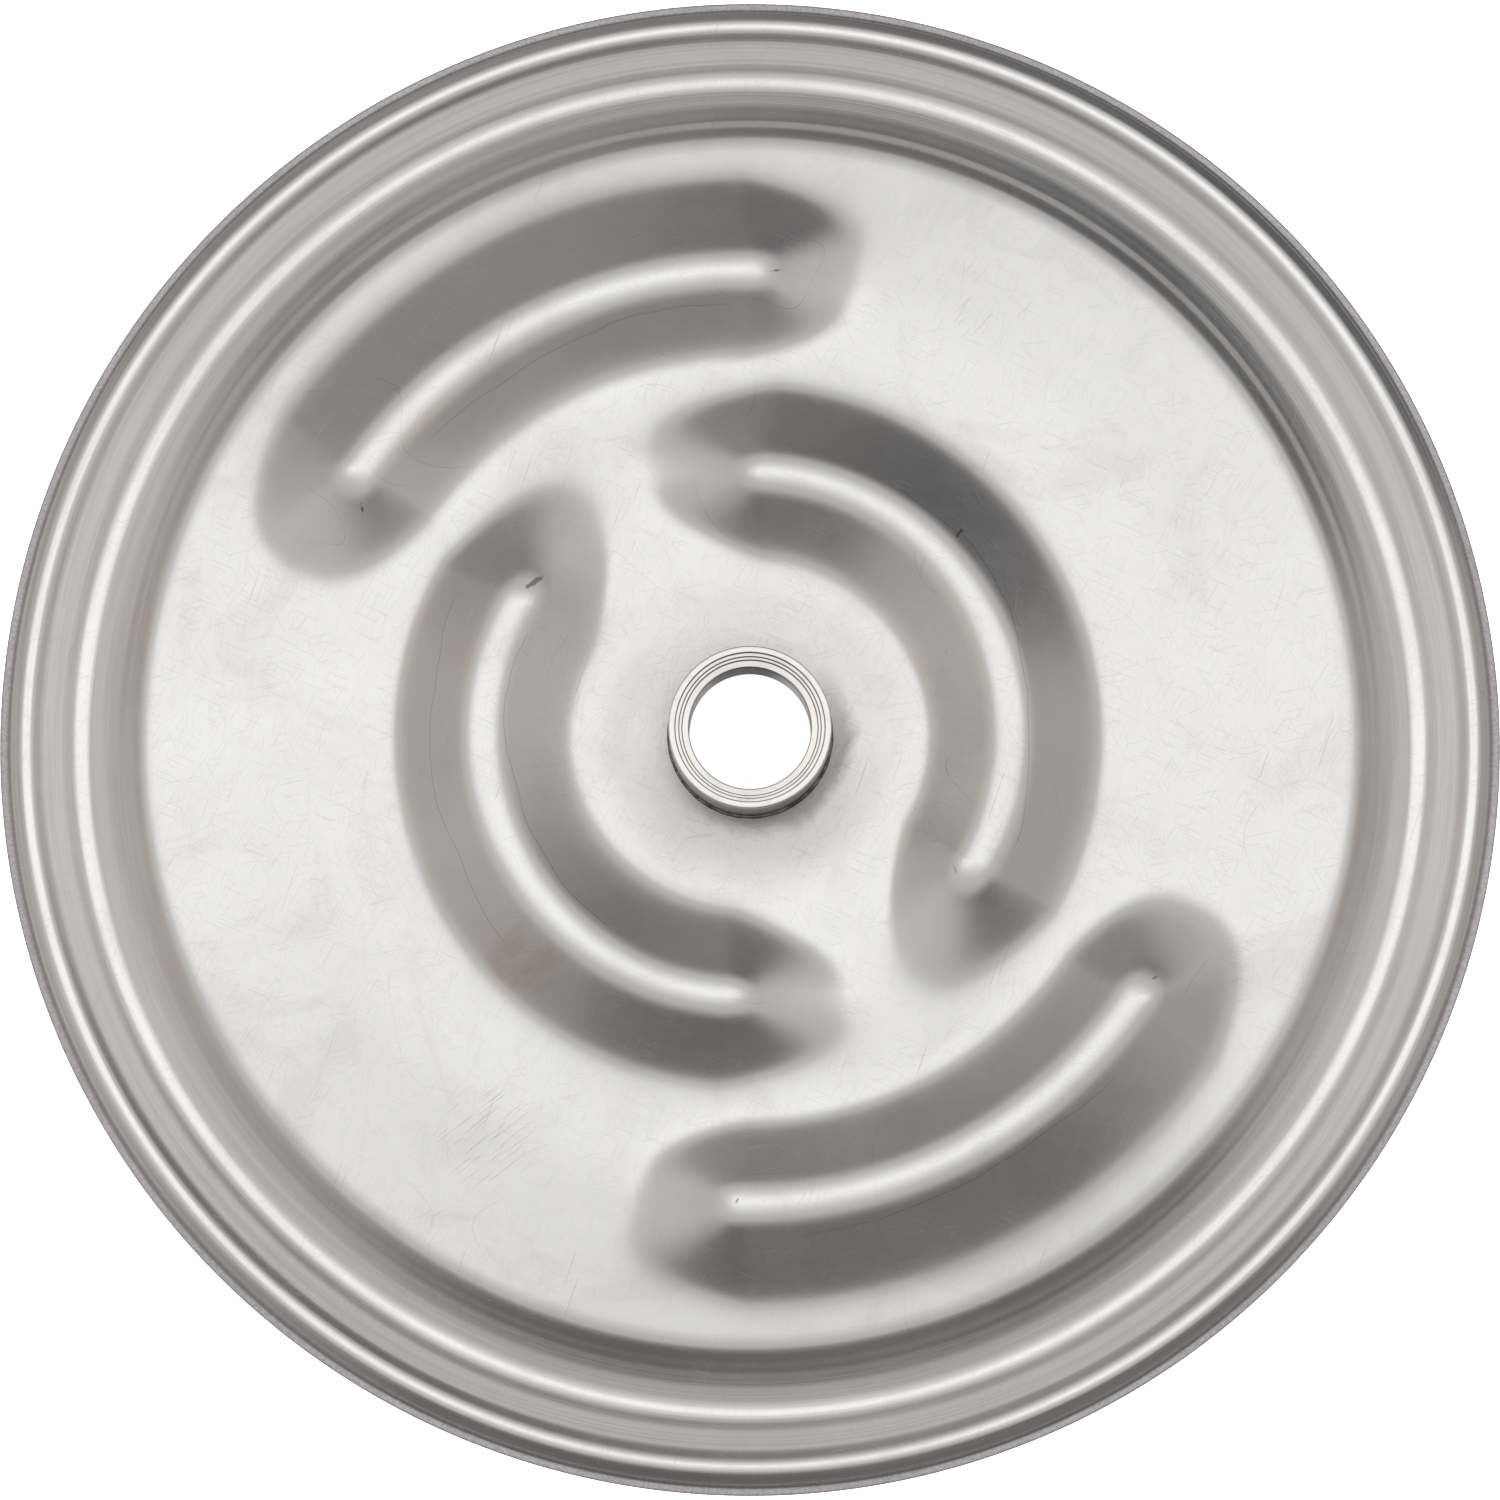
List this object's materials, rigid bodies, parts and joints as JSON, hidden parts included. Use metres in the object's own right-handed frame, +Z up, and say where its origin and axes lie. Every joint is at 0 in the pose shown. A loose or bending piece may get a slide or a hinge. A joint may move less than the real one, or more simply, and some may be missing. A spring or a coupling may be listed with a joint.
{
  "type": "banding wheel",
  "caption": "Round pressed-steel wheel head with raised arc pads and a stepped hub bore, spinning on a hollow spindle in a cast base with rubber feet.",
  "frame": {"origin": "on the spin axis, at the level that the rubber feet stand on", "axes": "+Z up along the spin axis, out of the hub bore; X and Y in the plane of the wheel head, +Y away from the user"},
  "size_m": [0.3, 0.3, 0.116],
  "materials": {
    "pressed_steel": "stainless sheet, pressed and lightly brushed",
    "turned_steel": "turned stainless, fine feed marks",
    "weld_metal": "as-welded bead with heat tint",
    "seal_rubber": "nitrile rubber",
    "bearing_steel": "ground bearing steel",
    "zinc_steel": "zinc plated",
    "blackened_steel": "black oxide",
    "polished_balls": "polished",
    "cage_brass": "pressed brass",
    "housing_aluminium": "machined",
    "painted_casting": "grey hammered enamel over cast iron",
    "foot_rubber": "moulded rubber"
  },
  "bodies": {
    "base": {"base_casting": "painted_casting", "bearing_housing": "housing_aluminium", "housing_screws": "blackened_steel", "housing_washers": "zinc_steel", "upper_outer_race": "bearing_steel", "lower_outer_race": "bearing_steel", "upper_shields": "zinc_steel", "lower_shields": "zinc_steel", "upper_cover": "housing_aluminium", "upper_cover_screws": "blackened_steel", "lower_cover": "housing_aluminium", "lower_cover_screws": "blackened_steel", "rubber_feet": "foot_rubber", "foot_screws": "zinc_steel"},
    "wheel_head": {"head_disc": "pressed_steel", "hub_collar": "turned_steel", "hub_weld": "weld_metal", "flange_weld": "weld_metal", "spindle": "turned_steel", "v_ring_seal": "seal_rubber", "upper_inner_race": "bearing_steel", "lower_inner_race": "bearing_steel", "inner_spacer": "turned_steel", "lock_washer": "zinc_steel", "locknut": "blackened_steel"},
    "upper_cage_set": {"upper_cage": "cage_brass", "upper_balls": "polished_balls"},
    "lower_cage_set": {"lower_cage": "cage_brass", "lower_balls": "polished_balls"}
  },
  "joints": [
    {"name": "head_spin", "type": "hinge", "parent": "base", "child": "wheel_head", "pos_m": [0, 0, 0.0555], "axis": [0, 0, 1], "continuous": true},
    {"name": "upper_cage_spin", "type": "hinge", "parent": "base", "child": "upper_cage_set", "pos_m": [0, 0, 0.0745], "axis": [0, 0, 1], "continuous": true},
    {"name": "lower_cage_spin", "type": "hinge", "parent": "base", "child": "lower_cage_set", "pos_m": [0, 0, 0.0365], "axis": [0, 0, 1], "continuous": true}
  ],
  "couplings": [
    {"joint": "upper_cage_spin", "follows": "head_spin", "ratio": 0.4444},
    {"joint": "lower_cage_spin", "follows": "head_spin", "ratio": 0.4444}
  ]
}
